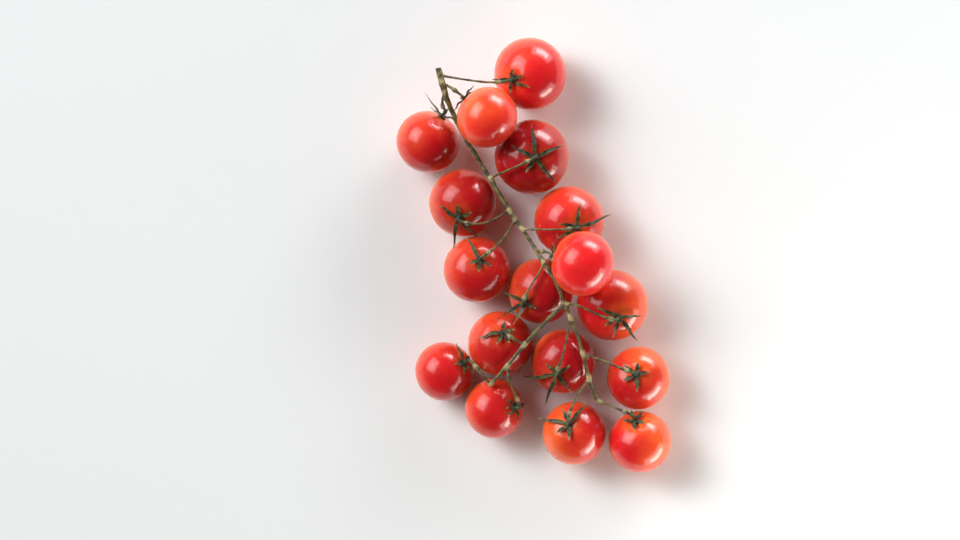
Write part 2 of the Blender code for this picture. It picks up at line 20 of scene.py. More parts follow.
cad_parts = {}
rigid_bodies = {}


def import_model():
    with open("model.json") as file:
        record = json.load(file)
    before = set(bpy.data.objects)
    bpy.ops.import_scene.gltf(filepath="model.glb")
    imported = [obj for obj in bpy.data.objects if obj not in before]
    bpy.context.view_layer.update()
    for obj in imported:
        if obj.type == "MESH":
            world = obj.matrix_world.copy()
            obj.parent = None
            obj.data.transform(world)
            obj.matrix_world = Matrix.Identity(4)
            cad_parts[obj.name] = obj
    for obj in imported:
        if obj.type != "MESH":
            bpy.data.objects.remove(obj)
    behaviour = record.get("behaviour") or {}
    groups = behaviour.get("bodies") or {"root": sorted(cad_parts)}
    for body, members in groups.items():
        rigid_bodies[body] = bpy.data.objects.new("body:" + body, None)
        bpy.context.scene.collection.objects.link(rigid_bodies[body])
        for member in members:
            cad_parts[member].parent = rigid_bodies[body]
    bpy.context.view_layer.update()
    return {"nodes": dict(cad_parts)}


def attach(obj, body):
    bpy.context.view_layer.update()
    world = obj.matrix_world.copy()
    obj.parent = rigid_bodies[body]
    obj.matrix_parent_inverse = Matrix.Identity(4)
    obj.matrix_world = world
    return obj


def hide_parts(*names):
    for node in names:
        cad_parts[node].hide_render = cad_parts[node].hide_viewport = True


for leftover in list(bpy.data.objects):
    bpy.data.objects.remove(leftover)
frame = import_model()
MM = 0.001

# %% [markdown]
# ## Where each tomato is
# A CAD tomato is a slightly flattened ball of flat facets with a dimple where its stalk goes in.
# Its corners are the same on both sides of its middle, so their mean is its centre. The corner
# nearest to that is the bottom of the dimple, which gives the way the stalk goes, and the furthest
# one gives half the width. Reading them back is safer than typing the places in again.

# %% Read the tomatoes
TOMATO_COUNT = sum(name.startswith("tomato_") for name in frame["nodes"])


class Tomato(NamedTuple):
    """Where one tomato is and how big, in metres."""
    number: int
    centre: Vector
    axis: Vector            # towards its stalk
    width: float            # half of it
    pole: float             # from its centre to the bottom of its dimple


def corners_of(node):
    """The corners of a CAD node, each of them once."""
    return list({tuple(round(c, 7) for c in vertex.co): vertex.co.copy()
                 for vertex in frame["nodes"][node].data.vertices}.values())


def read_tomato(number):
    corners = corners_of(f"tomato_{number:02d}")
    centre = sum(corners, Vector()) / len(corners)
    reach = [(corner - centre).length for corner in corners]
    axis = (corners[reach.index(min(reach))] - centre).normalized()
    return Tomato(number, centre, axis, max(reach), min(reach))


tomatoes = [read_tomato(number) for number in range(1, TOMATO_COUNT + 1)]
print(TOMATO_COUNT, "tomatoes, widths in mm:",
      [round(2 * tomato.width / MM, 1) for tomato in tomatoes])

# %% [markdown]
# ## Turning a shape to face its stalk
# Every fruit and calyx is made upright, with its stalk along +Z, and then turned. A rotation has to
# say which way round it goes as well, because the sepals are counted round the stalk, so X stays
# as near to the world's X as it can.

# %% The frame of a tomato
X_AXIS = Vector((1.0, 0.0, 0.0))


def frame_of(tomato):
    """Turns an upright shape along the tomato's stalk and puts it at the tomato's centre."""
    side = (X_AXIS - tomato.axis * tomato.axis.x).normalized()
    turn = Matrix((side, tomato.axis.cross(side), tomato.axis)).transposed()
    return Matrix.Translation(tomato.centre) @ turn.to_4x4()


print("tomato 1 points to its stalk:", [round(c, 2) for c in frame_of(tomatoes[0]).col[2][:3]])

# %% [markdown]
# ## Standing in for a CAD solid
# Each finished piece takes the place of one CAD solid and rides on the same body, so the truss keeps
# its weight and its contacts. What a material has to know of a place, such as how near it is to a
# knuckle, could be painted on an image. Here it is stored as one number for each vertex instead, so
# it follows the shape and needs no map.

# %% Add a piece and store its numbers
def add_piece(name, mesh, node):
    """Show a mesh in the place of a CAD node, riding on the truss."""
    mesh.shade_smooth()
    piece = bpy.data.objects.new(name, mesh)
    bpy.context.scene.collection.objects.link(piece)
    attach(piece, "root")
    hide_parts(node)
    return piece


def store(mesh, name, values):
    """Keep a number for each vertex, which the mesh's material can read."""
    layer = mesh.attributes.new(name, "FLOAT", "POINT")
    layer.data.foreach_set("value", np.asarray(values, np.float32))


# %% [markdown]
# ## The shape of a tomato
# A ripe cherry tomato is almost a ball. Its shoulders are faintly fluted round the stalk's dimple,
# its sides swell unevenly, the far end keeps the small scar of the flower, and its own weight
# presses a flat where it rests. A ball with a displacement texture could give the swellings, but not
# the two ends. Here rings of points run from the stalk end to the flower end, closer together at
# both, like clay on a turntable, and each point is moved by the rules of that place.

# %% Make the tomatoes
TOMATO_ASPECT = 0.96          # height along the stalk over width
DIMPLE_RADIUS = 4.5 * MM
FLUTES = 5
FLUTE_DEPTH = 0.10 * MM
FLUTE_REACH = 2.5 * MM        # how far it runs in and out from the dimple's rim
SWELLING = 0.012              # share of the width
SWELLING_SCALE = 1.1          # swellings to a tomato's radius, about
SCAR_RADIUS = 0.55 * MM
SCAR_HEIGHT = 0.22 * MM
REST_SOFTNESS = 0.12 * MM     # how gently the skin meets the table
TOMATO_RINGS = 64
TOMATO_SIDES = 96


def bell(distance, reach):
    """1 at no distance, fading smoothly over the reach."""
    return math.exp(-(distance / reach) ** 2)


def skin_point(tomato, t, around):
    """A point of the skin: t runs from 0 at the stalk to pi at the flower's scar."""
    off_axis = tomato.width * math.sin(t)
    height = tomato.width * TOMATO_ASPECT * math.cos(t)
    if height > 0:
        dimple = tomato.width * TOMATO_ASPECT - tomato.pole
        height -= dimple * bell(off_axis, DIMPLE_RADIUS)
        flute = math.cos(FLUTES * around + tomato.number)
        height -= FLUTE_DEPTH * flute * bell(off_axis - DIMPLE_RADIUS, FLUTE_REACH)
    else:
        height -= SCAR_HEIGHT * bell(off_axis, SCAR_RADIUS)
        height += 0.5 * SCAR_HEIGHT * bell(off_axis - 3 * SCAR_RADIUS, 2 * SCAR_RADIUS)
    point = Vector((off_axis * math.cos(around), off_axis * math.sin(around), height))
    own_part = Vector((tomato.number * 7.3, 0, 0))
    swelling = noise.noise(point.normalized() * SWELLING_SCALE + own_part)
    return point * (1 + SWELLING * swelling * math.sin(t))


def ring_angle(ring):
    """Rings are about three times closer together at both ends than half way."""
    share = ring / TOMATO_RINGS
    return math.pi * (share - 0.5 * math.sin(2 * math.pi * share) / (2 * math.pi))


def tomato_mesh(tomato):
    place = frame_of(tomato)
    bm = bmesh.new()
    rings = []
    from_stalk = []
    for ring in range(TOMATO_RINGS + 1):
        t = ring_angle(ring)
        count = 1 if ring in (0, TOMATO_RINGS) else TOMATO_SIDES
        row = []
        for side in range(count):
            point = place @ skin_point(tomato, t, 2 * math.pi * side / count)
            point.z = (point.z + math.hypot(point.z, REST_SOFTNESS)) / 2
            row.append(bm.verts.new(point))
            from_stalk.append(t / math.pi)
        rings.append(row)
    for row, following in zip(rings, rings[1:]):
        for side in range(TOMATO_SIDES):
            beside = (side + 1) % TOMATO_SIDES
            corners = [row[side % len(row)], following[side % len(following)],
                       following[beside % len(following)], row[beside % len(row)]]
            bm.faces.new(dict.fromkeys(corners))
    mesh = bpy.data.meshes.new(f"tomato_{tomato.number:02d}_skin")
    bm.to_mesh(mesh)
    bm.free()
    store(mesh, "from_stalk", from_stalk)
    return mesh


skins = {}
for tomato in tomatoes:
    name = f"tomato_{tomato.number:02d}_skin"
    skins[tomato.number] = add_piece(name, tomato_mesh(tomato), f"tomato_{tomato.number:02d}")
print("made", len(skins), "tomatoes of", len(skins[1].data.polygons), "faces each")

# %% [markdown]
# ## Where each stalk's end runs
# Past its knuckle a stalk runs down into the calyx. In the CAD it is a ten-sided tube that is one
# piece with the calyx, so its middle has to be found again. Dissolving the flat facets leaves the
# tube's end as the ten-cornered face that is furthest from the fruit. From there each ring of
# corners is joined only to the next, so the rings can be walked one by one to the calyx.

# %% Follow the stalks
STALK_CORNERS = 10
FLAT = math.radians(0.5)


def stalk_middle(tomato):
    """Points on the middle of the stalk's end, from the knuckle down to the calyx."""
    bm = bmesh.new()
    bm.from_mesh(frame["nodes"][f"calyx_{tomato.number:02d}"].data)
    bmesh.ops.remove_doubles(bm, verts=bm.verts, dist=MM / 1000)
    bmesh.ops.dissolve_limit(bm, angle_limit=FLAT, verts=bm.verts, edges=bm.edges)
    ends = [face for face in bm.faces if len(face.verts) == STALK_CORNERS]
    end = max(ends, key=lambda face: (face.calc_center_median() - tomato.centre).length)
    ring = set(end.verts)
    seen = set(ring)
    middle = []
    while len(ring) == STALK_CORNERS:
        middle.append(sum((vertex.co for vertex in ring), Vector()) / STALK_CORNERS)
        seen |= ring
        ring = {edge.other_vert(vertex) for vertex in ring for edge in vertex.link_edges} - seen
    bm.free()
    return middle


stalks = {tomato.number: stalk_middle(tomato) for tomato in tomatoes}
print("rings on each stalk:", [len(middle) for middle in stalks.values()])

# %% [markdown]
# ## Where each sepal goes
# Five sepals stand round each calyx. No two calyxes are alike: some sepals run a long way down the
# fruit, some stand off it and some have shrivelled. So each one has its own numbers: which way it
# points round the stalk, how long it is and how far its tip stands off the skin. Its root is nearer
# to an even fifth of the round than its tip, and it swings from one to the other as it grows. One
# that would run into a neighbour stops short of it.

# %% Lay out the sepals
# For each tomato: degrees round the stalk, length in mm and the tip's stand-off in mm
SEPALS = (
    ((26, 4.0, 2.0), (80, 2.5, 2.0), (186, 8.0, 2.0), (268, 3.0, 2.0), (342, 6.5, 1.5)),
    ((30, 5.0, 1.5), (102, 5.0, 1.5), (174, 5.0, 1.5), (246, 5.0, 1.5), (318, 5.0, 1.5)),
    ((10, 4.5, 2.5), (80, 5.0, 4.0), (152, 6.5, 7.5), (215, 5.0, 4.0), (290, 5.0, 5.0)),
    ((24, 12.0, 1.5), (94, 12.8, 1.5), (152, 9.0, 1.5), (240, 5.2, 1.5), (310, 13.0, 1.5)),
    ((28, 4.0, 1.5), (94, 4.2, 1.0), (148, 6.8, 2.5), (262, 8.0, 7.3), (306, 11.2, 2.5)),
    ((14, 13.5, 4.0), (80, 8.2, 1.5), (168, 5.8, 1.5), (208, 7.2, 2.0), (316, 5.8, 1.5)),
    ((42, 3.0, 2.5), (120, 8.2, 3.0), (206, 3.0, 2.5), (264, 3.0, 2.5), (328, 3.0, 2.5)),
    ((60, 4.0, 1.5), (130, 4.0, 1.5), (205, 4.0, 1.5), (275, 4.0, 1.5), (345, 6.0, 4.3)),
    ((62, 3.5, 1.5), (172, 12.0, 4.0), (218, 4.5, 11.3), (254, 5.0, 8.8), (350, 4.0, 1.5)),
    ((2, 7.0, 2.5), (152, 8.0, 1.5), (206, 4.5, 1.5), (254, 6.2, 2.5), (308, 9.2, 5.0)),
    ((18, 3.0, 1.5), (82, 3.0, 1.5), (190, 8.0, 1.5), (242, 3.5, 1.5), (302, 3.0, 1.5)),
    ((38, 5.0, 1.5), (136, 4.0, 1.5), (200, 15.0, 4.0), (252, 12.0, 6.0), (306, 8.0, 2.0)),
    ((62, 6.0, 5.5), (124, 6.0, 2.5), (206, 4.0, 1.5), (262, 3.0, 1.5), (318, 3.0, 2.0)),
    ((18, 4.0, 1.5), (90, 4.0, 1.5), (150, 3.5, 1.5), (215, 3.5, 1.5), (285, 3.5, 1.5)),
    ((52, 9.5, 3.0), (110, 4.8, 2.0), (162, 10.2, 4.0), (216, 4.0, 1.5), (272, 4.8, 1.5)),
    ((12, 3.5, 1.5), (78, 3.0, 1.5), (142, 4.5, 1.5), (208, 4.0, 1.5), (272, 5.2, 1.5)),
    ((48, 3.5, 1.5), (102, 4.2, 1.5), (178, 3.0, 1.5), (264, 3.8, 1.5), (324, 3.0, 1.5)),
)
Z_AXIS = Vector((0.0, 0.0, 1.0))
CALYX_RADIUS = 1.9 * MM
SEPAL_HEIGHT = 0.35 * MM      # middle of a sepal above the skin at its root
SEPAL_ARCH = 0.45 * MM        # how much further it stands off before its middle
SEPAL_WAVE = 0.16             # how far it waves from side to side, in radians
SEPAL_CLEARANCE = 1.0 * MM    # from a sepal's middle to whatever it would meet
SEPAL_SHORTEST = 2.2 * MM
SEPAL_STEPS = 26


class Sepal(NamedTuple):
    """One sepal of a tomato, angles in radians and sizes in metres."""
    tomato: Tomato
    root: float
    tip: float
    length: float
    lift: float
    phase: float            # makes its wave and twist its own


def spoke_at(angle):
    return Vector((math.cos(angle), math.sin(angle), 0.0))


def sepals_of(tomato):
    rows = SEPALS[tomato.number - 1]
    even = 360 / len(rows)
    first = sum(turn - even * index for index, (turn, length, lift) in enumerate(rows)) / len(rows)
    for index, (turn, length, lift) in enumerate(rows):
        root = (first + even * index + turn) / 2
        yield Sepal(tomato, math.radians(root), math.radians(turn), length * MM, lift * MM,
                    tomato.number * 1.7 + index * 2.3)


def sepal_section(sepal, distance):
    """Middle of a sepal that far from the calyx's rim, the way out of the skin and across there."""
    share = max(0.0, distance / sepal.length)
    swing = 1 - (1 - share) ** 2
    wave = SEPAL_WAVE * math.sin(4.4 * share + sepal.phase) * share * (1 - share)
    spoke = spoke_at(sepal.root + (sepal.tip - sepal.root) * swing + wave)
    width = sepal.tomato.width
    angle = (CALYX_RADIUS + distance) / width
    outward = spoke * math.sin(angle) + Z_AXIS * math.cos(angle)
    skin = 1 / math.hypot(math.sin(angle) / width, math.cos(angle) / (width * TOMATO_ASPECT))
    arch = SEPAL_ARCH * math.sin(math.pi * min(1.0, share * 1.6)) * min(1.0, share * 4)
    reach = skin + SEPAL_HEIGHT + arch + sepal.lift * share ** 2
    return outward * reach, outward, Z_AXIS.cross(spoke)


# %% [markdown]
# ### How long a sepal can be
# A leaf that grows into a neighbour bends or stops there. The CAD solids of the tomatoes and the stem
# are put in search trees, and each sepal is followed from its root until something else comes too
# near. Comparing the finished meshes would find the same, but only after they were made.

# %% Stop the sepals short of their neighbours
solids = {name: BVHTree.FromPolygons([vertex.co for vertex in node.data.vertices],
                                     [polygon.vertices for polygon in node.data.polygons])
          for name, node in frame["nodes"].items() if not name.startswith("calyx_")}


def free_length(sepal):
    """How long a sepal can be before it meets another tomato or the stem."""
    own = f"tomato_{sepal.tomato.number:02d}"
    place = frame_of(sepal.tomato)
    length = SEPAL_SHORTEST
    for step in range(1, SEPAL_STEPS + 1):
        distance = sepal.length * step / SEPAL_STEPS
        point = place @ sepal_section(sepal, distance)[0]
        if any(tree.find_nearest(point, SEPAL_CLEARANCE)[0]
               for name, tree in solids.items() if name != own):
            break
        length = max(length, distance)
    return min(length, sepal.length)


sepals = {tomato.number: list(sepals_of(tomato)) for tomato in tomatoes}
cut_short = [sepal.tomato.number for rows in sepals.values() for sepal in rows
             if free_length(sepal) < sepal.length]
print(sum(map(len, sepals.values())), "sepals; some stop short on tomatoes", sorted(set(cut_short)))

# %% [markdown]
# ## Sweeping a section along a path
# A stalk and a sepal are both made the same way: a small outline is repeated along a path and the
# outlines are joined. A curve object with a bevel would do for a stalk but keeps one outline all the
# way. Here each ring can have a shape of its own, and the first ring's direction is carried along
# the path so that the sweep doesn't twist.

# %% Sweeps
def smooth_path(points, steps):
    """Catmull-Rom path through the points with that many samples for each span."""
    ends = [points[0] * 2 - points[1]] + list(points) + [points[-1] * 2 - points[-2]]
    path = []
    for before, start, end, after in zip(ends, ends[1:], ends[2:], ends[3:]):
        for step in range(steps):
            t = step / steps
            path.append(0.5 * (2 * start + (end - before) * t
                               + (2 * before - 5 * start + 4 * end - after) * t ** 2
                               + (3 * start - before - 3 * end + after) * t ** 3))
    path.append(points[-1].copy())
    return path


def join_rings(bm, rings):
    """Skin a row of rings of points into a closed tube with flat ends."""
    made = [[bm.verts.new(point) for point in ring] for ring in rings]
    for ring, following in zip(made, made[1:]):
        for corner in range(len(ring)):
            beside = (corner + 1) % len(ring)
            bm.faces.new((ring[corner], ring[beside], following[beside], following[corner]))
    bm.faces.new(made[0])
    bm.faces.new(made[-1])


def round_rings(path, radii, sides):
    """Round rings along a path, without twist."""
    side = path[1] - path[0]
    side = side.orthogonal().normalized()
    rings = []
    for index, centre in enumerate(path):
        tangent = (path[min(index + 1, len(path) - 1)] - path[max(index - 1, 0)]).normalized()
        side = (side - tangent * side.dot(tangent)).normalized()
        other = tangent.cross(side)
        turns = [2 * math.pi * corner / sides for corner in range(sides)]
        rings.append([centre + (side * math.cos(turn) + other * math.sin(turn)) * radii[index]
                      for turn in turns])
    return rings


# %% [markdown]
# ## A calyx and its stalk
# The calyx is what is left of the flower: a little dished plate where the stalk meets the fruit,
# with five leafy sepals. The stalk flares into it, and further up it swells at the knuckle where the
# fruit snaps off. A lathed profile could give the flare but not the bend. So round rings follow the
# stalk's middle, and their size says where it swells.

# %% The rings of a stalk
STALK_RADIUS = 0.55 * MM
NECK_SWELL = 0.40 * MM        # above the plate
NECK_REACH = 1.6 * MM
PLATE_FLARE = 0.95 * MM       # into the plate
PLATE_REACH = 0.55 * MM
KNUCKLE_SWELL = 0.52 * MM
KNUCKLE_REACH = 1.1 * MM
KNUCKLE_OVERLAP = 0.7 * MM    # how far a stalk's end runs on into the stem's
STALK_SIDES = 20
STALK_STEPS = 8               # rings for each span of its middle


def stalk_rings(middle, seat):
    """The stalk from inside the knuckle, flaring into the calyx's plate on the skin."""
    onward = (middle[0] - middle[1]).normalized() * KNUCKLE_OVERLAP
    path = smooth_path([middle[0] + onward] + middle + [seat], STALK_STEPS)
    along = [0.0]
    for start, end in zip(path, path[1:]):
        along.append(along[-1] + (end - start).length)
    radii = []
    for distance in along:
        to_skin = along[-1] - distance
        radius = STALK_RADIUS + NECK_SWELL * bell(to_skin, NECK_REACH)
        radius += PLATE_FLARE * bell(to_skin, PLATE_REACH)
        radius += KNUCKLE_SWELL * bell(distance - KNUCKLE_OVERLAP, KNUCKLE_REACH)
        radii.append(radius)
    return round_rings(path, radii, STALK_SIDES)


# %% [markdown]
# ### The blade of a sepal
# A sepal is a small leaf: broadest near its root, folded into a shallow channel along its middle,
# with a rib underneath, and it dries into a twist. A flat strip with thickness added would look like
# paper. Here every outline across it has the channel, the rib and its own turn.

# %% The rings of a sepal
SEPAL_BASE = 1.3 * MM
SEPAL_BROADEST = 1.9 * MM
SEPAL_TIP = 0.35 * MM
BROADEST_AT = 0.28            # share of its length
SEPAL_TAPER = 0.85
SEPAL_CHANNEL = 0.32          # how deep its channel is for its half width
SEPAL_THICK = 0.30 * MM
SEPAL_THINNING = 0.35         # share of its thickness that it has lost at its tip
EDGE_THINNING = 0.45          # and at its edges
SEPAL_RIB = 0.10 * MM
RIB_REACH = 0.3               # share of its half width
SEPAL_TWIST = 0.5             # at its tip, in radians
SEPAL_SPANS = 8
ROOT_STEPS = 3                # rings that are inside the calyx's plate
ROOT_STEP = 0.45 * MM


def sepal_width(share):
    """Half of a sepal's width: broadest near its base, with a long fine tip."""
    if share < BROADEST_AT:
        rise = math.sin(share / BROADEST_AT * math.pi / 2)
        return (SEPAL_BASE + (SEPAL_BROADEST - SEPAL_BASE) * rise) / 2
    taper = (max(0.0, 1 - share) / (1 - BROADEST_AT)) ** SEPAL_TAPER
    return (SEPAL_TIP + (SEPAL_BROADEST - SEPAL_TIP) * taper) / 2


def sepal_rings(sepal, length):
    """Outlines across a sepal: a shallow channel with a rib under it, twisting a little."""
    place = frame_of(sepal.tomato)
    rings = []
    for step in range(-ROOT_STEPS, SEPAL_STEPS + 1):
        distance = length * step / SEPAL_STEPS if step > 0 else ROOT_STEP * step
        share = max(0.0, distance / length)
        middle, outward, across = sepal_section(sepal, distance)
        twist = SEPAL_TWIST * math.sin(sepal.phase * 2.1 + 2.0 * share) * share
        turn = Matrix.Rotation(twist, 3, outward.cross(across))
        outward = turn @ outward
        across = turn @ across
        half = sepal_width(share)
        thick = SEPAL_THICK * (1 - SEPAL_THINNING * share)
        top = []
        bottom = []
        for span in range(SEPAL_SPANS + 1):
            u = 2 * span / SEPAL_SPANS - 1
            ground = middle + across * half * u + outward * SEPAL_CHANNEL * half * u * u
            body = outward * thick * (1 - EDGE_THINNING * u * u) / 2
            rib = outward * SEPAL_RIB * bell(u, RIB_REACH) * (1 - share)
            top.append(place @ (ground + body))
            bottom.append(place @ (ground - body - rib))
        rings.append(top + bottom[::-1])
    return rings


# %% [markdown]
# ### Melting parts into one skin
# The stalk and its sepals grew as one, with soft webs between them. A Boolean union would leave sharp
# creases where they meet. A voxel remesh fills all the overlapping parts and wraps them in one skin,
# and a little smoothing takes its steps off.

# %% Remesh and remember places
def remeshed(name, bm, voxel, smoothing):
    """Melt the overlapping closed shells of a bmesh into one smooth skin."""
    bmesh.ops.recalc_face_normals(bm, faces=bm.faces)
    rough = bpy.data.meshes.new(name)
    bm.to_mesh(rough)
    bm.free()
    carrier = bpy.data.objects.new(name, rough)
    bpy.context.scene.collection.objects.link(carrier)
    remesh = carrier.modifiers.new("melt", "REMESH")
    remesh.mode = "VOXEL"
    remesh.voxel_size = voxel
    smooth = carrier.modifiers.new("smooth", "SMOOTH")
    smooth.factor = 0.5
    smooth.iterations = smoothing
    depsgraph = bpy.context.evaluated_depsgraph_get()
    mesh = bpy.data.meshes.new_from_object(carrier.evaluated_get(depsgraph))
    bpy.data.objects.remove(carrier)
    bpy.data.meshes.remove(rough)
    mesh.name = name
    return mesh


def shade_by_place(mesh, name, anchors):
    """Store how near each vertex is to its nearest anchor; an anchor is a point and a reach."""
    places = np.empty(len(mesh.vertices) * 3)
    mesh.vertices.foreach_get("co", places)
    places = places.reshape(-1, 3)
    value = np.zeros(len(places))
    for point, reach in anchors:
        away = np.linalg.norm(places - np.array(point), axis=1)
        value = np.maximum(value, np.exp(-(away / reach) ** 2))
    store(mesh, name, value)
    return value


# %% [markdown]
# ### All the calyxes
# Each calyx is put together on its own tomato: the stalk runs down to its seat in the dimple, and the
# sepals spread from there over the skin. The numbers stored with it say where it will be pale or dry,
# and where painted shade makes it dark round its plate. One of them has withered, so it counts as tip
# all over.

# %% Make the calyxes
CALYX_VOXEL = 0.10 * MM
CALYX_SMOOTHING = 3
SEAT_HEIGHT = 0.1 * MM        # above the bottom of the dimple
TIP_REACH = 2.5 * MM          # of the dry tip
TIP_SHARE = 0.4               # of a short sepal, which has a shorter dry tip
PLATE_SHADE_REACH = 2.6 * MM
KNUCKLE_SHADE_REACH = 1.5 * MM
WITHERED = (8,)               # tomatoes whose calyx has dried pale
WITHERED_REACH = 5.0 * MM


def calyx_mesh(tomato):
    bm = bmesh.new()
    middle = stalks[tomato.number]
    seat = tomato.centre + tomato.axis * (tomato.pole + SEAT_HEIGHT)
    join_rings(bm, stalk_rings(middle, seat))
    tips = []
    for sepal in sepals[tomato.number]:
        length = free_length(sepal)
        rings = sepal_rings(sepal, length)
        join_rings(bm, rings)
        tips.append((rings[-1][0], min(TIP_REACH, TIP_SHARE * length)))
    if tomato.number in WITHERED:
        tips.append((seat, WITHERED_REACH))
    mesh = remeshed(f"calyx_{tomato.number:02d}_leafy", bm, CALYX_VOXEL, CALYX_SMOOTHING)
    shade_by_place(mesh, "knuckle", [(middle[0], KNUCKLE_SHADE_REACH)])
    shade_by_place(mesh, "tip", tips)
    # Painted shade: how near the plate, where the calyx is painted nearly black.
    shade_by_place(mesh, "plate", [(seat, PLATE_SHADE_REACH)])
    return mesh


calyxes = {}
for tomato in tomatoes:
    node = f"calyx_{tomato.number:02d}"
    calyxes[tomato.number] = add_piece(node + "_leafy", calyx_mesh(tomato), node)
print("calyx faces:", [len(calyx.data.polygons) for calyx in calyxes.values()])

# %% [markdown]
# ## The stem
# A cut truss's stem is tough, lumpy and a little crooked. It dries thin between its joints and stays
# swollen where a stalk or a branch leaves it. The CAD stem already runs where it should as one solid,
# with flat sides. So it is remeshed finely, smoothed until its facets and hard joints go, and then
# moved in and out along its own surface: in where it is thick, out at the joints, with small lumps and
# a fine grain. A ray sent inwards says how thick it is, so that the thin stalks aren't shrunk away.
# Sweeping new tubes along the same routes would need every joint blended again.

# %% Make the stem
STEM_VOXEL = 0.22 * MM
STEM_SMOOTHING = 10
THIN = 1.2 * MM               # as thick as a stalk, which isn't shrunk
THICK = 1.8 * MM              # from here on it shrinks by all of the next value
STEM_SHRINK = 0.20 * MM       # where it has dried between its joints
STEM_SWELL = 0.50 * MM        # at its joints
JOINT_REACH = 1.9 * MM
STEM_LUMPS = 0.30 * MM
LUMP_SCALE = 330              # lumps and grains to a metre
STEM_GRAIN = 0.08 * MM
GRAIN_SCALE = 1300
THIN_ROUGHNESS = 0.4          # share of its lumps and grain that a thin stalk has
CUT_REACH = 1.2 * MM
# Where a stalk or a branch leaves the stem, in mm
JOINTS = (
    (-39, 75, 27), (-38, 72, 27), (-37, 68, 26), (-18, 32, 21), (-10, 19, 22), (-8, 15, 22),
    (-5, 11, 23), (1, 2, 24), (4, -3, 25), (13, -20, 26), (15, -26, 26), (20, -41, 26),
    (23, -51, 24), (27, -61, 20), (-4, -37, 26), (-11, -46, 25), (-18, -54, 22),
)


def stem_mesh():
    bm = bmesh.new()
    bm.from_mesh(frame["nodes"]["stem"].data)
    bmesh.ops.remove_doubles(bm, verts=bm.verts, dist=MM / 1000)
    mesh = remeshed("stem_ribbed", bm, STEM_VOXEL, STEM_SMOOTHING)
    joints = [(Vector(joint) * MM, JOINT_REACH) for joint in JOINTS]
    swollen = shade_by_place(mesh, "joint", joints)
    moved = []
    for vertex, near in zip(mesh.vertices, swollen):
        lumps = noise.noise(vertex.co * LUMP_SCALE) * STEM_LUMPS
        grain = noise.noise(vertex.co * GRAIN_SCALE) * STEM_GRAIN
        inside = vertex.co - vertex.normal * THIN / 4
        through = solids["stem"].ray_cast(inside, -vertex.normal)[3] or THIN
        thick = min(1.0, max(0.0, (through - THIN) / (THICK - THIN)))
        swell = STEM_SWELL * near - STEM_SHRINK * thick
        rough = THIN_ROUGHNESS + (1 - THIN_ROUGHNESS) * thick
        moved.append(vertex.co + vertex.normal * (swell + (lumps + grain) * rough))
    for vertex, place in zip(mesh.vertices, moved):
        vertex.co = place
    return mesh


stem = add_piece("stem_ribbed", stem_mesh(), "stem")
top_corners = sorted(corners_of("stem"), key=lambda corner: corner.y)[-4:]
cut_end = sum(top_corners, Vector()) / len(top_corners)
knuckles = [(middle[0], KNUCKLE_SHADE_REACH) for middle in stalks.values()]
shade_by_place(stem.data, "knuckle", knuckles)
shade_by_place(stem.data, "cut", [(cut_end, CUT_REACH)])
print("stem faces:", len(stem.data.polygons), "cut end, mm:", [round(c / MM, 1) for c in cut_end])

# %% [markdown]
# ## Shader sums in Python
# A material is a web of nodes, and a web is hard to read. This small class stands for one socket of
# it and lets Python's own signs add the Math nodes, so that a mask is written the way one would
# write it on paper. Every other kind of node comes from its one method, node.

# %% A socket that can be summed
# A Mix node has sockets of the same names for numbers and for colours, so they go by their places
MIX_SHARE = 0
MIX_FIRST = 6
MIX_SECOND = 7
MIX_COLOUR = 2


class Flow:
    """A node's output in a material, used like a number."""

    def __init__(self, tree, socket=None):
        self.tree = tree
        self.socket = socket

    def node(self, kind, settings=None, inputs=None, output=0):
        """Add a node: its settings first, then the values or links of its sockets."""
        made = self.tree.nodes.new("ShaderNode" + kind)
        for name, value in (settings or {}).items():
            setattr(made, name, value)
        for name, value in (inputs or {}).items():
            if isinstance(value, Flow):
                self.tree.links.new(value.socket, made.inputs[name])
            else:
                made.inputs[name].default_value = value
        return Flow(self.tree, made.outputs[output] if made.outputs else None)

    def sum(self, operation, *values):
        return self.node("Math", {"operation": operation}, dict(enumerate(values)))

    def __add__(self, other):
        return self.sum("ADD", self, other)

    __radd__ = __add__

    def __sub__(self, other):
        return self.sum("SUBTRACT", self, other)

    def __rsub__(self, other):
        return self.sum("SUBTRACT", other, self)

    def __mul__(self, other):
        return self.sum("MULTIPLY", self, other)

    __rmul__ = __mul__

    def step(self, low, high):
        """0 below low and 1 above high, or the other way if low is the greater."""
        return self.node("MapRange", {"interpolation_type": "SMOOTHSTEP"},
                         {"Value": self, "From Min": low, "From Max": high})

    def between(self, first, second):
        """A colour mixed from two, by this much of the second."""
        inputs = {MIX_SHARE: self}
        for place, colour in ((MIX_FIRST, first), (MIX_SECOND, second)):
            inputs[place] = colour if isinstance(colour, Flow) else (*colour, 1.0)
        return self.node("Mix", {"data_type": "RGBA"}, inputs, MIX_COLOUR)


# %% [markdown]
# ### What the materials share
# All of them are one Principled surface, the standard one for solid things, and they read the same
# kinds of source: noise that fills the space of a piece, and the numbers stored with its vertices.
# Writing those once keeps each material short enough to read.

# %% Start, feed and finish a material
def new_material(name):
    """An empty material and its web."""
    material = bpy.data.materials.new(name)
    material.use_nodes = True
    material.node_tree.nodes.clear()
    return material, Flow(material.node_tree)


def noise_at(web, scale, detail=2.0):
    """Cloudy noise over the piece, in lumps of a `scale`th of a metre."""
    where = web.node("TexCoord", output="Object")
    return web.node("TexNoise", {}, {"Vector": where, "Scale": scale, "Detail": detail})


def kept(web, name):
    """A number that was stored for each vertex."""
    return web.node("Attribute", {"attribute_name": name}, output="Fac")


def finish_with(web, inputs):
    """One Principled surface, to the material's output."""
    surface = web.node("BsdfPrincipled", {}, inputs)
    web.node("OutputMaterial", {}, {"Surface": surface})
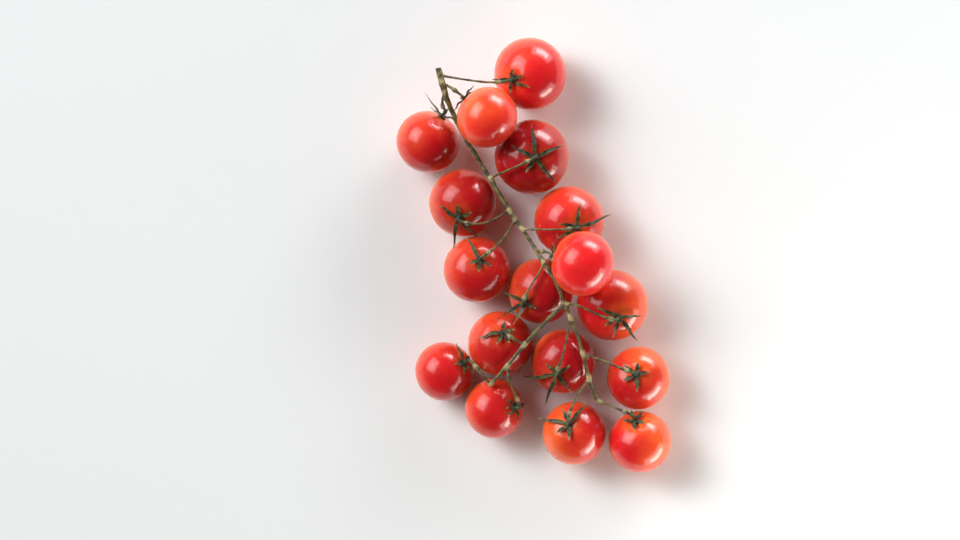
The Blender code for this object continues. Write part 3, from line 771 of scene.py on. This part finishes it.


# %% [markdown]
# ## Tomato skin
# Ripe tomato skin is red flesh seen through a thin clear wax, so it shows two things at once: deep
# soft colour and sharp bright reflections. The colour comes from a red that lets light in a little
# under the surface, darker on some fruits and brighter on others, and cloudy on all; that brightness
# is partly the fruit's own and partly painted light, fitted to how brightly each fruit is lit. Each
# has an orange blush, partly its own and partly painted light, laid mostly on the side that the big
# soft box lights, and a painted glow turns it orange down its flanks, where light shows at the rims.
# There is also a paler ring at the shoulder and pale pinprick pores. The wax is a clear coat over it,
# and a thin orange sheen stands for the light that comes out again at the edges. Painted maps could
# do all this, but they would show their seams.

# %% Paint the tomatoes
DEEP_RED = (0.40, 0.004, 0.009)
BRIGHT_RED = (0.88, 0.015, 0.020)
ORANGE = (0.87, 0.130, 0.024)
PORE = (0.85, 0.30, 0.16)
SCAR_BROWN = (0.16, 0.065, 0.025)
PAINTED_RIM_GLOW = 0.60           # painted glow: how much more orange the skin is where it faces sideways or down
PATCHINESS = 0.35             # of the blush
# For each tomato: how orange it is, the way its orange side looks, degrees round and degrees up,
# and how bright its red is. The orange side mostly looks to the soft box and the brightness follows
# how lit each fruit is, so both are partly painted light.
SKIN_TONES_AND_PAINTED_LIGHT = (
    (0.35, 120, 10, 0.65), (0.65, 140, 40, 1.20), (0.45, 130, 20, 0.35), (0.20, 0, 0, 0.08),
    (0.35, 170, 10, 0.12), (0.35, 60, 20, 0.35), (0.35, 150, 20, 0.30), (0.30, 150, 10, 0.85),
    (0.30, 130, 10, 0.08), (0.60, 20, 10, 0.50), (0.35, 150, 20, 0.20), (0.30, 160, 0, 0.10),
    (0.35, 150, 0, 0.45), (0.40, 150, 10, 0.40), (0.70, 200, 10, 0.40), (0.70, 40, 0, 0.32),
    (0.80, 10, 10, 0.50),
)


def blush_and_painted_glow_of(mesh, tomato):
    """How orange each vertex is: most where the blush looks, plus a painted glow on the flanks."""
    # The blush's way is partly painted light: on most tomatoes it looks towards the soft box.
    amount, bearing, rise = SKIN_TONES_AND_PAINTED_LIGHT[tomato.number - 1][:3]
    around, up = math.radians(bearing), math.radians(rise)
    way = Vector((math.cos(up) * math.cos(around), math.cos(up) * math.sin(around), math.sin(up)))
    values = []
    for vertex in mesh.vertices:
        facing = (vertex.co - tomato.centre).normalized()
        patch = PATCHINESS * noise.noise(facing * 1.8 + Vector((0, tomato.number * 3.1, 0)))
        # Painted glow: skin that faces sideways or down is made more orange, in place of the light at
        # the rims.
        side = PAINTED_RIM_GLOW * (1 - max(0.0, facing.z)) ** 2
        values.append(side + amount * max(0.0, 0.5 + 0.5 * facing.dot(way) + patch))
    return values


# %% [markdown]
# ### The skin's material
# Each mask below is a number from 0 to 1, and it mixes one more colour over the last. The order is
# that of the real thing: the flesh first, then the blush, then pores and the flower's scar on top.

# %% Mix the skin
CLOUD_SCALE = 130             # clouds, streaks and so on to a metre
STREAK_SCALE = 420
PORE_SCALE = 700.0
PORE_FIELD_SCALE = 900        # of the fields that have pores at all
PEEL_SCALE = 1500
SHOULDER = (0.06, 0.20)       # shares of the way from the stalk to the scar
SCAR_EDGE = (0.985, 0.993)


def skin_material():
    material, web = new_material("tomato_skin")
    cloud = noise_at(web, CLOUD_SCALE, 3.0)
    streak = noise_at(web, STREAK_SCALE, 2.0)
    blush = kept(web, "blush")
    from_stalk = kept(web, "from_stalk")
    # Partly painted light: each fruit's stored brightness, which sets its red, also holds how lit it
    # is.
    red = (kept(web, "bright") + (cloud - 0.5) * 0.5).between(DEEP_RED, BRIGHT_RED)
    shoulder = (1 - from_stalk.step(*SHOULDER)) * 0.30
    orange = (blush + shoulder + (streak - 0.5) * 0.25).step(0.10, 1.05)
    colour = orange.between(red, ORANGE)
    where = web.node("TexCoord", output="Object")
    cell = web.node("TexVoronoi", {}, {"Vector": where, "Scale": PORE_SCALE}, output="Distance")
    pores = (1 - cell.step(0.07, 0.14)) * noise_at(web, PORE_FIELD_SCALE).step(0.45, 0.6) * 0.45
    colour = pores.between(colour, PORE)
    scar = from_stalk.step(*SCAR_EDGE)
    colour = scar.between(colour, SCAR_BROWN)
    peel = noise_at(web, PEEL_SCALE, 2.0)
    bump = web.node("Bump", {}, {"Height": peel, "Strength": 0.06, "Distance": 0.0002})
    finish_with(web, {
        "Base Color": colour,
        "Roughness": 0.42 + (cloud - 0.5) * 0.12 + scar * 0.4,
        "Normal": bump,
        "IOR": 1.45,
        "Subsurface Weight": 0.35,
        "Subsurface Radius": (1.0, 0.14, 0.09),
        "Subsurface Scale": 0.0030,
        "Specular IOR Level": 0.15,
        "Coat Weight": 0.95,
        "Coat Roughness": 0.11,
        "Coat IOR": 1.55,
        "Sheen Weight": 0.15,
        "Sheen Roughness": 0.35,
        "Sheen Tint": (1.0, 0.30, 0.08, 1.0),
    })
    return material


tomato_skin = skin_material()
for tomato in tomatoes:
    mesh = skins[tomato.number].data
    store(mesh, "blush", blush_and_painted_glow_of(mesh, tomato))
    # Partly painted light: how brightly each fruit is lit is painted into its red as well.
    store(mesh, "bright", [SKIN_TONES_AND_PAINTED_LIGHT[tomato.number - 1][-1]] * len(mesh.vertices))
    mesh.materials.append(tomato_skin)
print("tomato skin:", len(tomato_skin.node_tree.nodes), "nodes")

# %% [markdown]
# ## Stem and calyx green
# The stem is a dark olive in patches, with pale corky bark at its knuckles and joints, and brown where
# it was cut. The sepals are a darker green and dry to a pale olive at the tips, and round the stalk
# they are painted nearly black with shade. One calyx has dried all over. Both are matt with a faint
# sheen of short hairs. Where each of these is was stored with the meshes, so the colours follow the
# shapes.

# %% Paint the stem and the calyxes
STEM_OLIVE = (0.150, 0.135, 0.038)
STEM_DARK = (0.040, 0.036, 0.011)
STEM_PALE = (0.44, 0.37, 0.18)
CUT_BROWN = (0.20, 0.15, 0.08)
LEAF_GREEN = (0.070, 0.088, 0.022)
LEAF_DARK = (0.012, 0.015, 0.005)
LEAF_DRY = (0.24, 0.25, 0.11)
PATCH_SCALE = 420
STEM_GRAIN_SCALE = 1400
LEAF_GRAIN_SCALE = 1800


def green_material(name, light, dark, grain_scale):
    """The start that both share. A calyx has no joints, so on it that number reads as 0."""
    material, web = new_material(name)
    cloud = noise_at(web, PATCH_SCALE, 3.0)
    grain = noise_at(web, grain_scale, 3.0)
    colour = (cloud * 0.7 + grain * 0.3).step(0.58, 0.42).between(light, dark)
    worn = kept(web, "knuckle") + kept(web, "joint")
    pale = (worn + (cloud - 0.5) * 1.2 + (grain - 0.5) * 0.8).step(0.2, 0.9) * 0.85
    colour = pale.between(colour, STEM_PALE)
    return material, web, colour, grain


def stem_material():
    material, web, colour, grain = green_material("stem_green", STEM_OLIVE, STEM_DARK,
                                                  STEM_GRAIN_SCALE)
    cut = kept(web, "cut")
    colour = (cut.step(0.45, 0.85) * 0.8).between(colour, CUT_BROWN)
    bump = web.node("Bump", {}, {"Height": grain, "Strength": 0.5, "Distance": 0.0001})
    finish_with(web, {
        "Base Color": colour,
        "Roughness": 0.50 + (grain - 0.5) * 0.3,
        "Normal": bump,
        "Subsurface Weight": 0.08,
        "Subsurface Radius": (0.6, 0.8, 0.2),
        "Subsurface Scale": 0.0006,
        "Sheen Weight": 0.15,
        "Sheen Roughness": 0.4,
    })
    return material


def calyx_material():
    material, web, colour, grain = green_material("calyx_green", LEAF_GREEN, LEAF_DARK,
                                                  LEAF_GRAIN_SCALE)
    plate = kept(web, "plate")
    tip = kept(web, "tip")
    # Painted shade: the calyx is painted nearly black round its plate, where shade gathers under the
    # sepals.
    colour = (plate.step(0.2, 0.9) * 0.75).between(colour, LEAF_DARK)
    colour = ((tip + (grain - 0.5) * 0.6).step(0.25, 0.95) * 0.7).between(colour, LEAF_DRY)
    bump = web.node("Bump", {}, {"Height": grain, "Strength": 0.5, "Distance": 0.0001})
    finish_with(web, {
        "Base Color": colour,
        "Roughness": 0.55 + (grain - 0.5) * 0.3,
        "Normal": bump,
        "Subsurface Weight": 0.06,
        "Subsurface Radius": (0.5, 0.8, 0.2),
        "Subsurface Scale": 0.0004,
        "Sheen Weight": 0.15,
        "Sheen Roughness": 0.4,
    })
    return material


stem.data.materials.append(stem_material())
leafy = calyx_material()
for calyx in calyxes.values():
    calyx.data.materials.append(leafy)
print("stem and", len(calyxes), "calyxes painted")

# %% [markdown]
# ## The table
# The truss lies on a plain matt white table. A single big plane is enough, because nothing of the
# table but its colour and the shadows on it is seen.

# %% Lay the table
TABLE_SIDE = 6.0
TABLE_WHITE = (0.80, 0.82, 0.825)


def make_table():
    bm = bmesh.new()
    bmesh.ops.create_grid(bm, x_segments=1, y_segments=1, size=TABLE_SIDE / 2)
    mesh = bpy.data.meshes.new("table")
    bm.to_mesh(mesh)
    bm.free()
    table = bpy.data.objects.new("table", mesh)
    bpy.context.scene.collection.objects.link(table)
    material, web = new_material("table_white")
    finish_with(web, {"Base Color": (*TABLE_WHITE, 1.0), "Roughness": 0.7,
                      "Specular IOR Level": 0.2})
    mesh.materials.append(material)


make_table()

# %% [markdown]
# ## Light
# Each tomato is a small curved mirror that shows the whole room, so the lights are set by where
# they have to appear: a wide soft box on the left, a low one behind, and a low warm reflector close
# by at the front right. A real soft box is brightest in its middle. One flat light has hard edges, so
# each of these is two or three, the smaller and brighter ones inside the larger. A light's power is
# worked out from how bright its face should look, so its size can change without changing that.

# %% A soft light
def soft_light(name, bearing, rise, distance, across, up, brightness, colour):
    """A flat light that faces the truss, seen from it at a bearing and rise in degrees.

    `across` and `up` are its sizes in degrees as seen from the truss.
    """
    around, lift = math.radians(bearing), math.radians(rise)
    way = Vector((math.cos(lift) * math.cos(around), math.cos(lift) * math.sin(around),
                  math.sin(lift)))
    data = bpy.data.lights.new(name, "AREA")
    data.shape = "RECTANGLE"
    data.size = 2 * distance * math.tan(math.radians(across / 2))
    data.size_y = 2 * distance * math.tan(math.radians(up / 2))
    data.energy = brightness * math.pi * data.size * data.size_y
    data.color = colour
    light = bpy.data.objects.new(name, data)
    light.location = way * distance
    light.rotation_euler = (-way).to_track_quat("-Z", "Y").to_euler()
    light.visible_camera = False
    bpy.context.scene.collection.objects.link(light)


# %% [markdown]
# ### The seven lights
# A rig like this could be built from glowing sheets, but lamps give the same look with far less
# noise. Each row is one lamp, seen from the truss, and the nested ones share a bearing.

# %% Set the lights
WHITE = (1.0, 1.0, 1.0)
WARM = (1.0, 0.93, 0.84)
# Name, bearing, rise, distance in metres, size across and up, brightness, colour
LIGHTS = (
    ("soft_box_edge", 149, 38, 6.0, 50, 40, 2.6, WHITE),
    ("soft_box_middle", 149, 38, 6.0, 36, 32, 5.4, WHITE),
    ("soft_box_core", 149, 38, 6.0, 18, 17, 13.0, WHITE),
    ("back_strip_edge", 62, 14, 1.0, 50, 34, 3.0, WHITE),
    ("back_strip_core", 62, 13, 1.0, 30, 18, 8.5, WHITE),
    ("reflector_edge", -44, 8, 0.34, 58, 34, 3.0, WARM),
    ("reflector_core", -44, 6, 0.34, 36, 17, 8.0, WARM),
)
for row in LIGHTS:
    soft_light(*row)
print(len(LIGHTS), "lights set")

# %% [markdown]
# ## The room
# What no light covers, the skins mirror too. An evenly bright world would fill every gap between the
# fruits with grey, so the room is nearly dark overhead and only a little brighter round its walls.

# %% Make the room
CEILING_BRIGHTNESS = 0.02
WALL_BRIGHTNESS = 0.10
WALL_TOP = 0.6                # of the way up: the height of the direction where the walls end


def make_room():
    """A room that is dark overhead and a little brighter round its walls."""
    world = bpy.data.worlds.new("room")
    world.use_nodes = True
    world.node_tree.nodes.clear()
    web = Flow(world.node_tree)
    way = web.node("TexCoord", output="Generated")
    height = web.node("SeparateXYZ", {}, {"Vector": way}, output="Z")
    brightness = CEILING_BRIGHTNESS + height.step(WALL_TOP, 0.0) * WALL_BRIGHTNESS
    sky = web.node("Background", {}, {"Color": (1.0, 1.0, 1.0, 1.0), "Strength": brightness})
    web.node("OutputWorld", {}, {"Surface": sky})
    bpy.context.scene.world = world


make_room()
bpy.context.scene.view_settings.view_transform = "Standard"
print("room walls up to", WALL_TOP, "of the way overhead")

# %% [markdown]
# ## Camera
# The camera looks straight down from a little over a metre, as one does over a table. A short lens
# close by would show more of the tomatoes' sides and pull the outer ones out of round, so it is a
# long one.

# %% Set the camera
LENS_PLACE = (-22.5 * MM, -6.1 * MM, 1.134)
FOCAL_LENGTH = 100.0          # in mm, like the sensor
SENSOR_WIDTH = 36.0
camera_data = bpy.data.cameras.new("camera")
camera_data.lens = FOCAL_LENGTH
camera_data.sensor_width = SENSOR_WIDTH
camera = bpy.data.objects.new("camera", camera_data)
camera.location = LENS_PLACE
bpy.context.scene.collection.objects.link(camera)
bpy.context.scene.camera = camera
